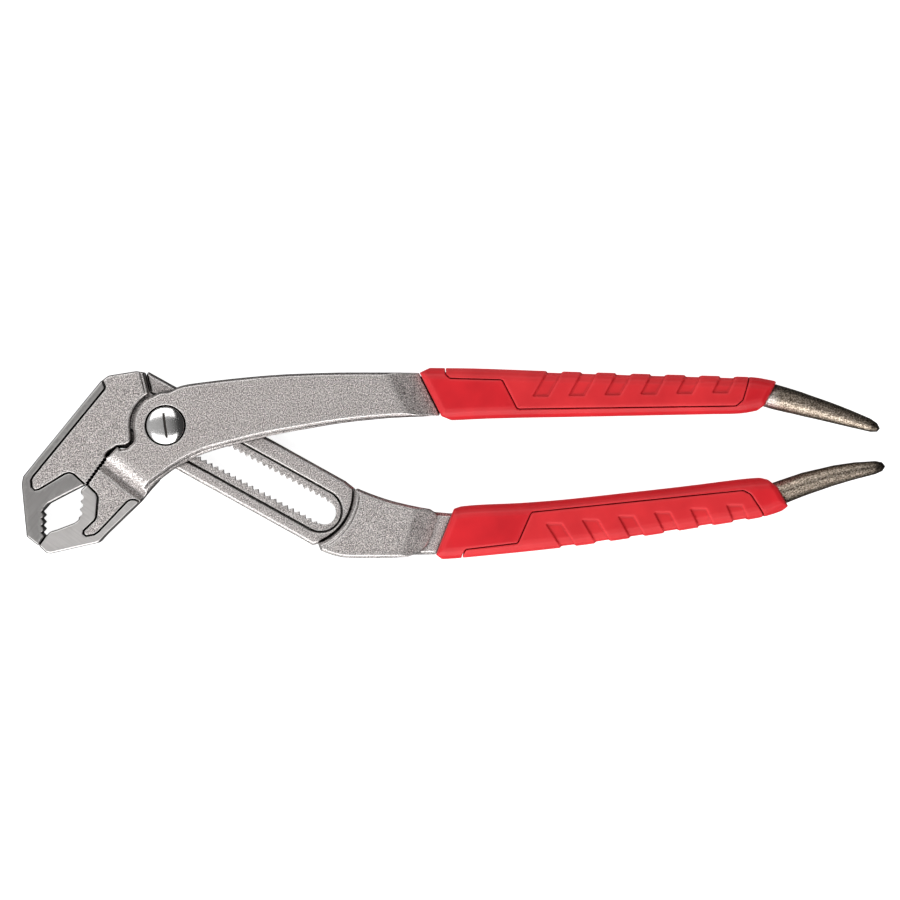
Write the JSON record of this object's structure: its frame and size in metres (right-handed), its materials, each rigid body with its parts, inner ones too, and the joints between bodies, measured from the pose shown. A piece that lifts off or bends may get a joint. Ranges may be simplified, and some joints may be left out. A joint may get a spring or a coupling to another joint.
{
  "type": "tongue and groove pliers",
  "caption": "Slip-joint pliers with V jaws, a toothed slot that sets the jaw width, a round pivot bolt and red moulded grips with bare tapered handle ends.",
  "frame": {"origin": "on the pivot axis, in the plane that the tool lies on: the end face of the pivot bolt", "axes": "+X from the jaws to the handle ends, +Z out of the front face, along the pivot axis"},
  "size_m": [0.3104, 0.0687, 0.016],
  "materials": {
    "forged_steel": "shot-blasted forging with ground edges",
    "polished_steel": "polished domed head",
    "plated_steel": "zinc plated",
    "red_shell": "satin moulded",
    "red_pad": "soft matt moulded"
  },
  "bodies": {
    "slotted_half": {"slotted_jaw_arm": "forged_steel", "lower_grip_shell": "red_shell", "lower_grip_pad": "red_pad"},
    "slide_carriage": {"toothed_slide_block": "plated_steel", "slide_washer": "plated_steel"},
    "pivot_half": {"pivot_jaw_arm": "forged_steel", "upper_grip_shell": "red_shell", "upper_grip_pad": "red_pad", "pivot_bolt": "polished_steel", "wave_washer": "plated_steel", "pivot_nut": "plated_steel"}
  },
  "joints": [
    {"name": "jaw_adjust", "type": "slide", "parent": "slotted_half", "child": "slide_carriage", "axis": [0.8746, -0.4848, 0], "range_m": [0, 0.0288]},
    {"name": "handle_pivot", "type": "hinge", "parent": "slide_carriage", "child": "pivot_half", "pos_m": [0, 0, 0.008], "axis": [0, 0, 1], "range_deg": [0, 30]}
  ]
}
